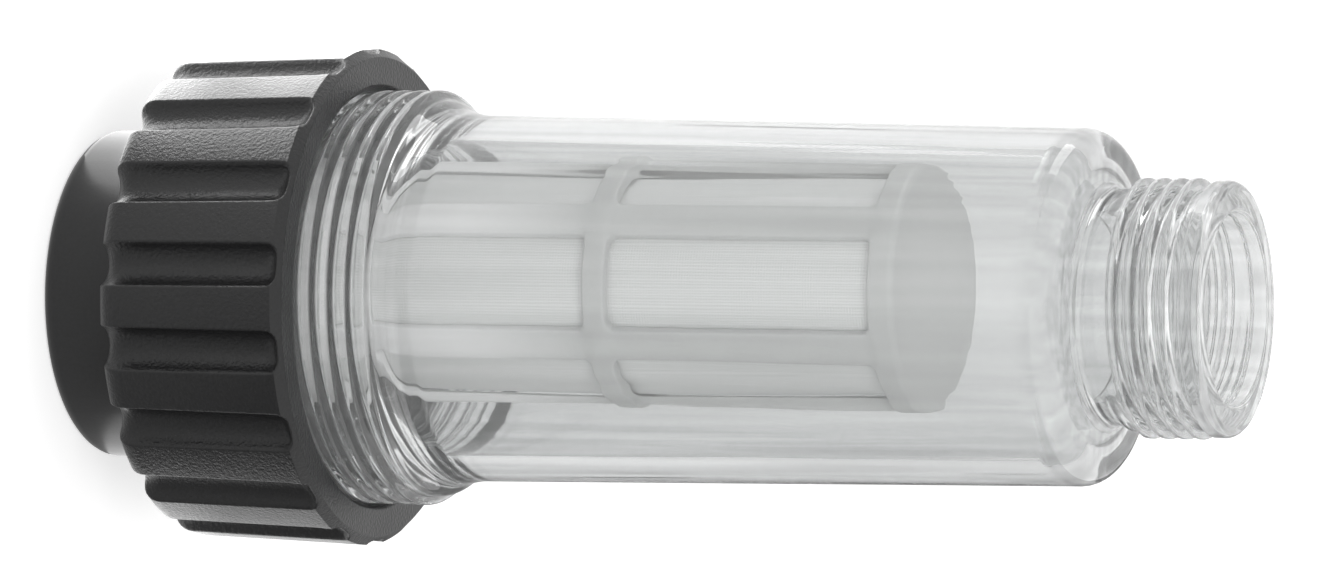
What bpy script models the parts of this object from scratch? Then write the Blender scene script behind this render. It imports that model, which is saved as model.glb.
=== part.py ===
"""A clear in-line water filter with a screwed-on ribbed cap and a lift-out strainer.

The filter stands on its hub. +Z runs up its axis, from the hub's end face at z = 0 to the neck.
Sizes are in metres. Right-hand threads climb with the angle about +Z.
"""

import math

import bmesh
import bpy

MM = 0.001

# Running clearances between pieces that seat on or in each other
SEAT_GAP = 0.3 * MM
FLANK_GAP = 0.25 * MM

# Pipe thread of the hub and the neck: three-quarter inch, parallel
PIPE_CREST_RADIUS = 13.22 * MM
PIPE_THREAD_DEPTH = 1.16 * MM
PIPE_PITCH = 1.814 * MM
PIPE_CREST_WIDTH = 0.35 * MM
PIPE_ROOT_WIDTH = 1.45 * MM

# Housing: one clear moulding
BODY_LOW_RADIUS = 19.15 * MM
BODY_HIGH_RADIUS = 18.2 * MM
BODY_WALL = 2.6 * MM
BODY_LENGTH = 65.8 * MM
SHOULDER_RADIUS = 5.0 * MM
SHOULDER_WALL = 2.8 * MM
NECK_LENGTH = 11.7 * MM
NECK_WALL = 2.31 * MM
NECK_BLEND = 0.7 * MM
NECK_LEAD_LENGTH = 2.0 * MM
NECK_LEAD_STEP = 0.2 * MM
NECK_EDGE = 1.0 * MM
NECK_THREAD_LEAD_DEG = -179.0
MOUTH_CHAMFER = 0.5 * MM
THREAD_STEP = 1.7 * MM
THREAD_DEPTH = 0.9 * MM
THREAD_PITCH = 2.0 * MM
THREAD_LENGTH = 20.8 * MM
THREAD_CREST_WIDTH = 0.5 * MM
THREAD_ROOT_WIDTH = 1.3 * MM
THREAD_LEAD_DEG = -142.0
RUN_OUT_LENGTH = 4.2 * MM
RUN_OUT_KNEE_STEP = 0.4 * MM
RUN_OUT_KNEE_HEIGHT = 2.3 * MM
NOSE_HEIGHT = 4.4 * MM
NOSE_GAP = 1.15 * MM
RIM_CHAMFER = 0.4 * MM

# Sealing ring in the nose's groove
RING_THICKNESS = 2.2 * MM

# Cap: one black moulding of hub, web, strainer collar and ribbed skirt
HUB_WALL = 4.1 * MM
HUB_LENGTH = 10.0 * MM
HUB_EDGE = 1.4 * MM
HUB_FILLET = 0.7 * MM
SOCKET_DEPTH = 11.0 * MM
SOCKET_CHAMFER = 1.2 * MM
WEB_THICKNESS = 2.5 * MM
COLLAR_WALL = 1.5 * MM
COLLAR_HEIGHT = 7.0 * MM
COLLAR_CHAMFER = 0.5 * MM
SKIRT_LENGTH = 21.3 * MM
SKIRT_WALL = 1.6 * MM
SKIRT_DRAFT = 0.7 * MM
SKIRT_BACK_EDGE = 2.4 * MM
SKIRT_FRONT_EDGE = 0.8 * MM
SKIRT_MOUTH_CHAMFER = 1.2 * MM
RIB_COUNT = 18
RIB_HEIGHT = 1.8 * MM
VALLEY_RADIUS = 2.35 * MM
VALLEY_END_RIM = 0.6 * MM
RIB_PHASE_DEG = -87.0

# Washer at the bottom of the hub's socket
WASHER_THICKNESS = 2.2 * MM
WASHER_WIDTH = 3.96 * MM

# Strainer: a windowed frame with a gauze sleeve inside it. It stands loosely over the collar.
FLOW_GAP = 2.75 * MM
STRAINER_LENGTH = 79.9 * MM
STRAINER_WALL = 1.1 * MM
STRAINER_PLAY = 2.0 * MM
BAND_STEP = 0.25 * MM
END_DISC_THICKNESS = 2.8 * MM
END_DISC_EDGE = 0.8 * MM
FOOT_BAND_HEIGHT = 17.2 * MM
FOOT_CHAMFER = 0.4 * MM
MIDDLE_BAND_HEIGHT = 2.4 * MM
WINDOW_COUNT = 6
WINDOW_ROWS = 2
WINDOW_RIB_WIDTH = 3.5 * MM
WINDOW_CORNER = 1.0 * MM
GAUZE_THICKNESS = 0.35 * MM

# How fine the curves are, and how far cutters and threads reach past the faces they meet
FACETS = 32
CAP_FACETS = 2 * RIB_COUNT
VALLEY_FACETS = 14
ARC_STEPS = 4
FINE_ARC_STEPS = 6
COARSE_ARC_STEPS = 3
RING_STEPS = 8
THREAD_FADE_TURNS = 0.3
SHARP_DEG = 30.0
MERGE = 0.01 * MM
SUNK = 0.2 * MM
OVERRUN = 2.0 * MM

# Heights that follow from the sizes above
WEB_TOP = SOCKET_DEPTH + WEB_THICKNESS
COLLAR_TOP = WEB_TOP + COLLAR_HEIGHT
SKIRT_FRONT = HUB_LENGTH + SKIRT_LENGTH
RIM = WEB_TOP + SEAT_GAP
NOSE_TOP = RIM + NOSE_HEIGHT
RING_HEIGHT = (RIM + NOSE_TOP) / 2
THREAD_TOP = NOSE_TOP + THREAD_LENGTH
BODY_LOW = THREAD_TOP + RUN_OUT_LENGTH
BODY_HIGH = BODY_LOW + BODY_LENGTH
SHOULDER_TOP = BODY_HIGH + SHOULDER_RADIUS
NECK_TOP = SHOULDER_TOP + NECK_LENGTH
STRAINER_FOOT = WEB_TOP + SEAT_GAP
STRAINER_TOP = STRAINER_FOOT + STRAINER_LENGTH
WINDOW_FLOOR = STRAINER_FOOT + FOOT_BAND_HEIGHT
DISC_UNDERSIDE = STRAINER_TOP - END_DISC_THICKNESS
WINDOW_HEIGHT = (DISC_UNDERSIDE - WINDOW_FLOOR - (WINDOW_ROWS - 1) * MIDDLE_BAND_HEIGHT) / WINDOW_ROWS

# Radii that follow from the sizes above. The bore keeps the body's taper down to the rim.
BORE_TAPER = (BODY_LOW_RADIUS - BODY_HIGH_RADIUS) / BODY_LENGTH
BORE_HIGH_RADIUS = BODY_HIGH_RADIUS - BODY_WALL
BORE_RIM_RADIUS = BORE_HIGH_RADIUS + BORE_TAPER * (BODY_HIGH - RIM)
THREAD_ROOT_RADIUS = BODY_LOW_RADIUS + THREAD_STEP
THREAD_CREST_RADIUS = THREAD_ROOT_RADIUS + THREAD_DEPTH
PIPE_ROOT_RADIUS = PIPE_CREST_RADIUS - PIPE_THREAD_DEPTH
NECK_BORE_RADIUS = PIPE_ROOT_RADIUS - NECK_WALL
CAP_BORE_RADIUS = THREAD_ROOT_RADIUS + SEAT_GAP
CAP_GROOVE_RADIUS = THREAD_CREST_RADIUS + SEAT_GAP
RING_OUTER_RADIUS = CAP_BORE_RADIUS - SEAT_GAP
RING_RADIUS = RING_OUTER_RADIUS - RING_THICKNESS / 2
RING_GROOVE_RADIUS = RING_RADIUS - RING_THICKNESS / 2 - SEAT_GAP
NOSE_RADIUS = CAP_BORE_RADIUS - NOSE_GAP
HUB_RADIUS = PIPE_CREST_RADIUS + HUB_WALL
VALLEY_FLOOR_RADIUS = CAP_GROOVE_RADIUS + SKIRT_WALL
SKIRT_BACK_RADIUS = VALLEY_FLOOR_RADIUS + RIB_HEIGHT
SKIRT_FRONT_RADIUS = SKIRT_BACK_RADIUS + SKIRT_DRAFT
BAND_RADIUS = min(BORE_HIGH_RADIUS, BORE_RIM_RADIUS) - FLOW_GAP
STRAINER_RADIUS = BAND_RADIUS - BAND_STEP
STRAINER_BORE_RADIUS = STRAINER_RADIUS - STRAINER_WALL
COLLAR_RADIUS = STRAINER_BORE_RADIUS - STRAINER_PLAY
WATERWAY_RADIUS = COLLAR_RADIUS - COLLAR_WALL
GAUZE_RADIUS = STRAINER_BORE_RADIUS - SEAT_GAP
STRAINER_OFFSET = STRAINER_PLAY - SEAT_GAP
WASHER_OUTER_RADIUS = PIPE_ROOT_RADIUS - SEAT_GAP


def clear_scene():
    for item in list(bpy.data.objects):
        bpy.data.objects.remove(item, do_unlink=True)


def new_collection(name, parent=None):
    made = bpy.data.collections.new(name)
    (parent or bpy.context.scene.collection).children.link(made)
    return made


def new_material(name, colour, roughness, metallic=0.0, alpha=1.0):
    made = bpy.data.materials.new(name)
    made.use_nodes = True
    shader = made.node_tree.nodes["Principled BSDF"]
    shader.inputs["Base Color"].default_value = (*colour, 1.0)
    shader.inputs["Roughness"].default_value = roughness
    shader.inputs["Metallic"].default_value = metallic
    shader.inputs["Alpha"].default_value = alpha
    return made


def arc(centre, radius, start_deg, end_deg, steps=ARC_STEPS):
    """Points on an arc of a profile, as (radius from the axis, height), from one angle to the other."""
    angles = (math.radians(start_deg + (end_deg - start_deg) * step / steps) for step in range(steps + 1))
    return [(centre[0] + radius * math.cos(angle), centre[1] + radius * math.sin(angle)) for angle in angles]


def turned(name, profile, facets, closed=True, phase_deg=0.0):
    """A profile in the XZ plane carried round Z by a Screw modifier.

    A closed profile makes a ring. An open one starts and ends on the axis.
    """
    mesh = bpy.data.meshes.new(name)
    count = len(profile)
    edges = [(index, index + 1) for index in range(count - 1)]
    if closed:
        edges.append((count - 1, 0))
    mesh.from_pydata([(radius, 0.0, height) for radius, height in profile], edges, [])
    piece = bpy.data.objects.new(name, mesh)
    piece.rotation_euler.z = math.radians(phase_deg)
    screw = piece.modifiers.new("turn", "SCREW")
    screw.steps = facets
    screw.render_steps = facets
    screw.use_merge_vertices = True
    screw.merge_threshold = MERGE
    screw.use_smooth_shade = True
    return piece


def helix(name, low, high, pitch, lead_deg, form, fades, facets, seam_deg=0.0):
    """A thread form swept up a right-hand helix from one height to another.

    Its centre is at height 0 at the lead angle, so two helices with one pitch and lead stay in mesh. The
    form is a list of (radius, height from the centre), from its lower foot over the crest to its upper foot.
    A fade is the part of a turn over which the form grows from its feet at that end, or 0 for a square end.
    The sections lie in the planes of the blank's own facets, which start at the seam angle.
    """
    mesh = bpy.data.meshes.new(name)
    shape = bmesh.new()
    facet = math.tau / facets
    offset = math.radians(seam_deg - lead_deg)
    first = math.ceil((math.tau * low / pitch - offset) / facet)
    last = math.floor((math.tau * high / pitch - offset) / facet)
    foot_radius = form[0][0]
    rings = []
    for step in range(first, last + 1):
        angle = math.radians(seam_deg) + step * facet
        centre = pitch * (offset + step * facet) / math.tau
        rise = 1.0
        if fades[0]:
            rise = min(rise, (step - first + 1) / (fades[0] * facets))
        if fades[1]:
            rise = min(rise, (last - step + 1) / (fades[1] * facets))
        ring = []
        for radius, height in form:
            reach = foot_radius + (radius - foot_radius) * rise
            ring.append(shape.verts.new((reach * math.cos(angle), reach * math.sin(angle), centre + height)))
        rings.append(ring)
    size = len(form)
    for lower, upper in zip(rings, rings[1:]):
        for index in range(size):
            following = (index + 1) % size
            shape.faces.new((lower[index], upper[index], upper[following], lower[following]))
    shape.faces.new(rings[0])
    shape.faces.new(list(reversed(rings[-1])))
    bmesh.ops.recalc_face_normals(shape, faces=shape.faces)
    shape.to_mesh(mesh)
    shape.free()
    return bpy.data.objects.new(name, mesh)


def thread_form(root_radius, crest_radius, root_width, crest_width):
    """The section of a thread. Its feet lie a little below the root, on the same flanks."""
    slope = (root_width - crest_width) / (crest_radius - root_radius)
    foot_radius = root_radius - SUNK
    foot_width = root_width + slope * SUNK
    return [
        (foot_radius, -foot_width / 2),
        (crest_radius, -crest_width / 2),
        (crest_radius, crest_width / 2),
        (foot_radius, foot_width / 2),
    ]


def finish(piece, collection, material):
    piece.data.materials.append(material)
    piece.data.shade_smooth()
    piece.data.set_sharp_from_angle(angle=math.radians(SHARP_DEG))
    collection.objects.link(piece)
    return piece


def hide_cutter(piece, collection):
    piece.hide_render = True
    piece.display_type = "WIRE"
    collection.objects.link(piece)
    return piece


def combine(piece, other, operation):
    """A Boolean with one other object, or with each object of a collection."""
    modifier = piece.modifiers.new(operation.lower(), "BOOLEAN")
    modifier.operation = operation
    modifier.solver = "EXACT"
    if isinstance(other, bpy.types.Collection):
        modifier.operand_type = "COLLECTION"
        modifier.collection = other
    else:
        modifier.object = other


def housing_profile():
    lead_radius = PIPE_CREST_RADIUS - NECK_LEAD_STEP
    lead_low = NECK_TOP - NECK_LEAD_LENGTH
    edge_centre = (lead_radius - NECK_EDGE, NECK_TOP - NECK_EDGE)
    blend_centre = (PIPE_ROOT_RADIUS + NECK_BLEND, SHOULDER_TOP + NECK_BLEND)
    shoulder_centre = (BODY_HIGH_RADIUS - SHOULDER_RADIUS, BODY_HIGH)
    groove_half = RING_THICKNESS / 2 + SEAT_GAP
    inner_radius = SHOULDER_RADIUS - SHOULDER_WALL
    inner_high = SHOULDER_TOP - SHOULDER_WALL
    inner_corner = inner_high - inner_radius
    corner_radius = BORE_HIGH_RADIUS + BORE_TAPER * (BODY_HIGH - inner_corner)
    inner_centre = (corner_radius - inner_radius, inner_corner)
    outside = arc(edge_centre, NECK_EDGE, 90, 0, COARSE_ARC_STEPS)
    outside += [(lead_radius, lead_low), (PIPE_ROOT_RADIUS, lead_low - NECK_LEAD_STEP)]
    outside += arc(blend_centre, NECK_BLEND, 180, 270, COARSE_ARC_STEPS)
    outside += arc(shoulder_centre, SHOULDER_RADIUS, 90, 0, FINE_ARC_STEPS)
    outside += [
        (BODY_LOW_RADIUS, BODY_LOW),
        (BODY_LOW_RADIUS + RUN_OUT_KNEE_STEP, BODY_LOW - RUN_OUT_KNEE_HEIGHT),
        (THREAD_ROOT_RADIUS, THREAD_TOP),
        (THREAD_ROOT_RADIUS, NOSE_TOP),
        (NOSE_RADIUS, NOSE_TOP),
        (NOSE_RADIUS, RING_HEIGHT + groove_half),
        (RING_GROOVE_RADIUS, RING_HEIGHT + groove_half),
        (RING_GROOVE_RADIUS, RING_HEIGHT - groove_half),
        (NOSE_RADIUS, RING_HEIGHT - groove_half),
        (NOSE_RADIUS, RIM + RIM_CHAMFER),
        (NOSE_RADIUS - RIM_CHAMFER, RIM),
    ]
    inside = [(BORE_RIM_RADIUS, RIM)] + arc(inner_centre, inner_radius, 0, 90)
    inside += [
        (NECK_BORE_RADIUS, inner_high),
        (NECK_BORE_RADIUS, NECK_TOP - MOUTH_CHAMFER),
        (NECK_BORE_RADIUS + MOUTH_CHAMFER, NECK_TOP),
    ]
    return outside + inside


def make_housing(parts, cutters, material):
    """The clear body: a turned shell with a coarse thread for the cap and a pipe thread on the neck."""
    housing = finish(turned("housing", housing_profile(), FACETS), parts, material)
    form = thread_form(THREAD_ROOT_RADIUS, THREAD_CREST_RADIUS, THREAD_ROOT_WIDTH, THREAD_CREST_WIDTH)
    fades = (THREAD_FADE_TURNS, THREAD_FADE_TURNS)
    low = NOSE_TOP + THREAD_ROOT_WIDTH
    high = THREAD_TOP - THREAD_ROOT_WIDTH
    thread = helix("main_thread", low, high, THREAD_PITCH, THREAD_LEAD_DEG, form, fades, FACETS)
    combine(housing, hide_cutter(thread, cutters), "UNION")
    form = thread_form(PIPE_ROOT_RADIUS, PIPE_CREST_RADIUS, PIPE_ROOT_WIDTH, PIPE_CREST_WIDTH)
    low = SHOULDER_TOP + NECK_BLEND + PIPE_ROOT_WIDTH / 2
    high = NECK_TOP - NECK_LEAD_LENGTH - PIPE_ROOT_WIDTH / 2
    thread = helix("neck_thread", low, high, PIPE_PITCH, NECK_THREAD_LEAD_DEG, form, fades, FACETS)
    combine(housing, hide_cutter(thread, cutters), "UNION")
    return housing


def cap_profile():
    back_centre = (SKIRT_BACK_RADIUS - SKIRT_BACK_EDGE, HUB_LENGTH + SKIRT_BACK_EDGE)
    fillet_centre = (HUB_RADIUS + HUB_FILLET, HUB_LENGTH - HUB_FILLET)
    edge_centre = (HUB_RADIUS - HUB_EDGE, HUB_EDGE)
    outside = [
        (SKIRT_FRONT_RADIUS - SKIRT_FRONT_EDGE, SKIRT_FRONT),
        (SKIRT_FRONT_RADIUS, SKIRT_FRONT - SKIRT_FRONT_EDGE),
    ]
    outside += arc(back_centre, SKIRT_BACK_EDGE, 0, -90)
    outside += arc(fillet_centre, HUB_FILLET, 90, 180, COARSE_ARC_STEPS)
    outside += arc(edge_centre, HUB_EDGE, 0, -90)
    inside = [
        (PIPE_ROOT_RADIUS + SOCKET_CHAMFER, 0.0),
        (PIPE_ROOT_RADIUS, SOCKET_CHAMFER),
        (PIPE_ROOT_RADIUS, SOCKET_DEPTH),
        (WATERWAY_RADIUS, SOCKET_DEPTH),
        (WATERWAY_RADIUS, COLLAR_TOP),
        (COLLAR_RADIUS - COLLAR_CHAMFER, COLLAR_TOP),
        (COLLAR_RADIUS, COLLAR_TOP - COLLAR_CHAMFER),
        (COLLAR_RADIUS, WEB_TOP),
        (CAP_BORE_RADIUS, WEB_TOP),
        (CAP_BORE_RADIUS, SKIRT_FRONT - SKIRT_MOUTH_CHAMFER),
        (CAP_BORE_RADIUS + SKIRT_MOUTH_CHAMFER, SKIRT_FRONT),
    ]
    return outside + inside


def valley_cutter(name, angle_deg):
    """A round-nosed bar that leans with the skirt's draft. It cuts one valley between two ribs."""
    lean = math.atan2(SKIRT_DRAFT, SKIRT_LENGTH)
    top = SKIRT_FRONT - VALLEY_END_RIM
    length = top - HUB_LENGTH + OVERRUN
    profile = arc((0.0, -VALLEY_RADIUS), VALLEY_RADIUS, 90, 0)
    profile += [(VALLEY_RADIUS, -length), (0.0, -length)]
    bar = turned(name, profile, VALLEY_FACETS, closed=False)
    centre_radius = VALLEY_FLOOR_RADIUS + VALLEY_RADIUS + SKIRT_DRAFT
    angle = math.radians(angle_deg)
    bar.location = (centre_radius * math.cos(angle), centre_radius * math.sin(angle), top)
    bar.rotation_euler = (0.0, lean, angle)
    return bar


def make_cap(parts, cutters, material):
    """The black cap: a turned blank, a valley cut between each two ribs, and two inside threads.

    The blank has two facets to a rib, so that a flat facet lies under each rib and under each valley. The
    groove for the housing's thread is as wide as that thread at each radius, with a flank gap on each side.
    """
    pitch_deg = 360.0 / RIB_COUNT
    blank_phase = RIB_PHASE_DEG - pitch_deg / 4
    cap = finish(turned("cap", cap_profile(), CAP_FACETS, phase_deg=blank_phase), parts, material)
    valleys = new_collection("valley_cutters", cutters)
    for index in range(RIB_COUNT):
        angle_deg = RIB_PHASE_DEG + pitch_deg * (index + 0.5)
        hide_cutter(valley_cutter(f"valley_{index + 1:02d}", angle_deg), valleys)
    combine(cap, valleys, "DIFFERENCE")
    narrowing = (THREAD_ROOT_WIDTH - THREAD_CREST_WIDTH) / THREAD_DEPTH * SEAT_GAP
    root_width = THREAD_ROOT_WIDTH + 2 * FLANK_GAP - narrowing
    crest_width = THREAD_CREST_WIDTH + 2 * FLANK_GAP - narrowing
    form = thread_form(CAP_BORE_RADIUS, CAP_GROOVE_RADIUS, root_width, crest_width)
    fades = (THREAD_FADE_TURNS, 0)
    high = SKIRT_FRONT + THREAD_PITCH
    groove = helix(
        "cap_groove", NOSE_TOP, high, THREAD_PITCH, THREAD_LEAD_DEG, form, fades, CAP_FACETS, blank_phase
    )
    combine(cap, hide_cutter(groove, cutters), "DIFFERENCE")
    form = thread_form(PIPE_ROOT_RADIUS, PIPE_CREST_RADIUS, PIPE_ROOT_WIDTH, PIPE_CREST_WIDTH)
    fades = (0, THREAD_FADE_TURNS)
    washer_room = WASHER_THICKNESS + 2 * SEAT_GAP
    high = SOCKET_DEPTH - washer_room - PIPE_ROOT_WIDTH / 2
    socket = helix("socket_groove", -PIPE_PITCH, high, PIPE_PITCH, 0.0, form, fades, CAP_FACETS, blank_phase)
    combine(cap, hide_cutter(socket, cutters), "DIFFERENCE")
    return cap


def make_ring(parts, material):
    """The rubber ring in the nose's groove, of round section."""
    section = arc((RING_RADIUS, RING_HEIGHT), RING_THICKNESS / 2, 90, -270, RING_STEPS)[:-1]
    return finish(turned("housing_seal", section, FACETS), parts, material)


def make_washer(parts, material):
    """The flat rubber washer that seals a tap or hose end screwed into the hub."""
    top = SOCKET_DEPTH - SEAT_GAP
    low = top - WASHER_THICKNESS
    bore = WASHER_OUTER_RADIUS - WASHER_WIDTH
    profile = [(WASHER_OUTER_RADIUS, top), (WASHER_OUTER_RADIUS, low), (bore, low), (bore, top)]
    return finish(turned("inlet_washer", profile, FACETS), parts, material)


def strainer_profile():
    """A cup with its open end down. Three bands stand proud: the foot, one between the rows, and the end."""
    disc_centre = (BAND_RADIUS - END_DISC_EDGE, STRAINER_TOP - END_DISC_EDGE)
    profile = [(0.0, STRAINER_TOP)]
    profile += arc(disc_centre, END_DISC_EDGE, 90, 0)
    profile += [(BAND_RADIUS, DISC_UNDERSIDE), (STRAINER_RADIUS, DISC_UNDERSIDE - BAND_STEP)]
    for row in range(WINDOW_ROWS - 1, 0, -1):
        band_low = WINDOW_FLOOR + row * WINDOW_HEIGHT + (row - 1) * MIDDLE_BAND_HEIGHT
        band_top = band_low + MIDDLE_BAND_HEIGHT
        profile += [
            (STRAINER_RADIUS, band_top + BAND_STEP),
            (BAND_RADIUS, band_top),
            (BAND_RADIUS, band_low),
            (STRAINER_RADIUS, band_low - BAND_STEP),
        ]
    profile += [
        (STRAINER_RADIUS, WINDOW_FLOOR + BAND_STEP),
        (BAND_RADIUS, WINDOW_FLOOR),
        (BAND_RADIUS, STRAINER_FOOT + FOOT_CHAMFER),
        (BAND_RADIUS - FOOT_CHAMFER, STRAINER_FOOT),
        (STRAINER_BORE_RADIUS, STRAINER_FOOT),
        (STRAINER_BORE_RADIUS, DISC_UNDERSIDE),
        (0.0, DISC_UNDERSIDE),
    ]
    return profile


def window_cutter(name, angle_deg, low):
    """A bar with rounded corners through two windows that face each other."""
    pitch = math.tau / WINDOW_COUNT
    half_angle = pitch / 2 - WINDOW_RIB_WIDTH / STRAINER_RADIUS / 2
    width = 2 * STRAINER_RADIUS * math.sin(half_angle)
    mesh = bpy.data.meshes.new(name)
    shape = bmesh.new()
    bmesh.ops.create_cube(shape, size=1.0)
    bmesh.ops.scale(shape, vec=(2 * BAND_RADIUS + OVERRUN, width, WINDOW_HEIGHT), verts=shape.verts)
    along = [edge for edge in shape.edges if abs(edge.verts[0].co.x - edge.verts[1].co.x) > BAND_RADIUS]
    bmesh.ops.bevel(shape, geom=along, offset=WINDOW_CORNER, segments=2, profile=0.5, affect="EDGES")
    shape.to_mesh(mesh)
    shape.free()
    bar = bpy.data.objects.new(name, mesh)
    bar.location = (-STRAINER_OFFSET, 0.0, low + WINDOW_HEIGHT / 2)
    bar.rotation_euler.z = math.radians(angle_deg)
    return bar


def make_strainer_frame(parts, cutters, material):
    frame = finish(turned("strainer_frame", strainer_profile(), FACETS, closed=False), parts, material)
    frame.location.x = -STRAINER_OFFSET
    windows = new_collection("window_cutters", cutters)
    pitch_deg = 360.0 / WINDOW_COUNT
    for row in range(WINDOW_ROWS):
        low = WINDOW_FLOOR + row * (WINDOW_HEIGHT + MIDDLE_BAND_HEIGHT)
        for index in range(WINDOW_COUNT // 2):
            name = f"window_{row + 1}_{index + 1}"
            hide_cutter(window_cutter(name, pitch_deg * (index + 0.5), low), windows)
    combine(frame, windows, "DIFFERENCE")
    return frame


def make_gauze(parts, material):
    """The gauze sleeve behind the windows. Its weave is far finer than its wall shows here."""
    low = COLLAR_TOP + SEAT_GAP
    top = DISC_UNDERSIDE - SEAT_GAP
    inner = GAUZE_RADIUS - GAUZE_THICKNESS
    profile = [(GAUZE_RADIUS, top), (GAUZE_RADIUS, low), (inner, low), (inner, top)]
    gauze = finish(turned("strainer_gauze", profile, FACETS), parts, material)
    gauze.location.x = -STRAINER_OFFSET
    return gauze


def main():
    clear_scene()
    parts = new_collection("water_filter")
    cutters = new_collection("cutters")
    clear_plastic = new_material("clear_plastic", (0.86, 0.88, 0.88), 0.06, alpha=0.35)
    black_plastic = new_material("black_plastic", (0.022, 0.022, 0.024), 0.45)
    white_plastic = new_material("white_plastic", (0.8, 0.81, 0.8), 0.4)
    gauze = new_material("nylon_gauze", (0.72, 0.73, 0.72), 0.6)
    rubber = new_material("black_rubber", (0.02, 0.02, 0.02), 0.7)
    make_housing(parts, cutters, clear_plastic)
    make_cap(parts, cutters, black_plastic)
    make_ring(parts, rubber)
    make_washer(parts, rubber)
    make_strainer_frame(parts, cutters, white_plastic)
    make_gauze(parts, gauze)


main()
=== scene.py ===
# %% [markdown]
# # A clear in-line water filter
#
# The object is a small filter for a pump's pipe. A black cap with eighteen ribs screws onto a clear
# housing, and a white strainer stands inside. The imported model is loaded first, because it fixes every
# size and place. The pieces made below are fine surfaces that stand for its faceted nodes.

# %% Load the frame
import math

import bmesh
import bpy
import numpy as np
from mathutils import Matrix, Vector


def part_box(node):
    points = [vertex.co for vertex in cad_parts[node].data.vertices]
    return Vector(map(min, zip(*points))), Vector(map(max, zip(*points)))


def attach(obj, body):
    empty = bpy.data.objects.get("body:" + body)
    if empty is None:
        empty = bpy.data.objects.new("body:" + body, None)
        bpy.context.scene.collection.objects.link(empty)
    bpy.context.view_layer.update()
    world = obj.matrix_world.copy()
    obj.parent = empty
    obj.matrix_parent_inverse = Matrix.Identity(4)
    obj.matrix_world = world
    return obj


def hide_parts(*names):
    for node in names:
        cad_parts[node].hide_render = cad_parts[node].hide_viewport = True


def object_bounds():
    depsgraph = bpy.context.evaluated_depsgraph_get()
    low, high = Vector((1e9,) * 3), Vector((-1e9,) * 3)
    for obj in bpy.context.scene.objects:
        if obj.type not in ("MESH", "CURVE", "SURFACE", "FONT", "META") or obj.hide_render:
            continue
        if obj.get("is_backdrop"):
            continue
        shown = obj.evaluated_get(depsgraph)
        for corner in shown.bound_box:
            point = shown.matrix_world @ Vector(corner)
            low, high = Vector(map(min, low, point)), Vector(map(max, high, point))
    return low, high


MM = 0.001
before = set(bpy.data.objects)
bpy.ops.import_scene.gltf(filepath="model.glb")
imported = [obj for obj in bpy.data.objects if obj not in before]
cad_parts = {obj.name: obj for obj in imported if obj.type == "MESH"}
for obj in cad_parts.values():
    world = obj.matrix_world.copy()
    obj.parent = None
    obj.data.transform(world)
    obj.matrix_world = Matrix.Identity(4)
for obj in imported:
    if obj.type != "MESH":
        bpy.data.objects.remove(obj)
cad_low, cad_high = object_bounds()
print("nodes:", ", ".join(sorted(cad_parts)))

# %% [markdown]
# ## Sizes from the frame
#
# Each node's box gives the sizes that more than one piece needs. The filter's axis is Z, so half a box's
# width is a radius. Only the strainer stands off the axis.


# %% Sizes from the frame
def spans(node):
    """A node's (radius, lowest height, highest height, centre along X), all in metres."""
    low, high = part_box(node)
    return (high.x - low.x) / 2, low.z, high.z, (high.x + low.x) / 2


thread_crest, rim, neck_top, _ = spans("housing")
skirt_front_radius, hub_end, skirt_front, _ = spans("cap")
seal_outer, seal_low, seal_high, _ = spans("housing_seal")
washer_outer, washer_low, washer_high, _ = spans("inlet_washer")
band_radius, strainer_foot, strainer_top, strainer_x = spans("strainer_frame")
gauze_radius, gauze_low, gauze_high, _ = spans("strainer_gauze")
print(f"housing {rim / MM:.1f} to {neck_top / MM:.1f} mm high, strainer {strainer_x / MM:.1f} mm off the axis")

# %% [markdown]
# ## Colours and nodes
#
# A colour is picked from a screen as a hex value, which is in sRGB, while Blender's sockets take linear
# light. One function turns one into the other. A second one adds a node, sets its values and makes its
# links, so that a material reads as a short list.


# %% Colours and nodes
def linear(code):
    """An sRGB hex value such as "D0D2D4" as linear red, green, blue and an alpha of 1."""
    parts = [int(code[index : index + 2], 16) / 255 for index in (0, 2, 4)]
    return (*[part / 12.92 if part <= 0.04045 else ((part + 0.055) / 1.055) ** 2.4 for part in parts], 1.0)


def add_node(tree, kind, values=None, links=None, **settings):
    """Adds one node. Values and links go by a socket's name or number, settings by a property's name."""
    node = tree.nodes.new(kind)
    for key, value in settings.items():
        setattr(node, key, value)
    for key, value in (values or {}).items():
        node.inputs[key].default_value = value
    for key, source in (links or {}).items():
        tree.links.new(source, node.inputs[key])
    return node


def empty_material(name):
    """A new material with only its output node."""
    material = bpy.data.materials.new(name)
    material.use_nodes = True
    tree = material.node_tree
    tree.nodes.clear()
    return material, tree, tree.nodes.new("ShaderNodeOutputMaterial")


print("white in linear light:", linear("FFFFFF")[0])

# %% [markdown]
# ## Turned surfaces
#
# Everything here but the ribs was turned or moulded round one axis. The natural surface is a profile
# carried round that axis, a grid of points with the profile along its rows and the angle along its
# columns. A thread or a rib only changes the radius at some angles, so it is a formula on the same grid.
# Sharp corners never catch light on a real moulding, so each corner of a profile gets a small fillet.


# %% Profiles with rounded corners
ARC_STEPS = 5
ARC_SPACING = 0.35 * MM
SUPPORT = 0.12 * MM


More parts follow.
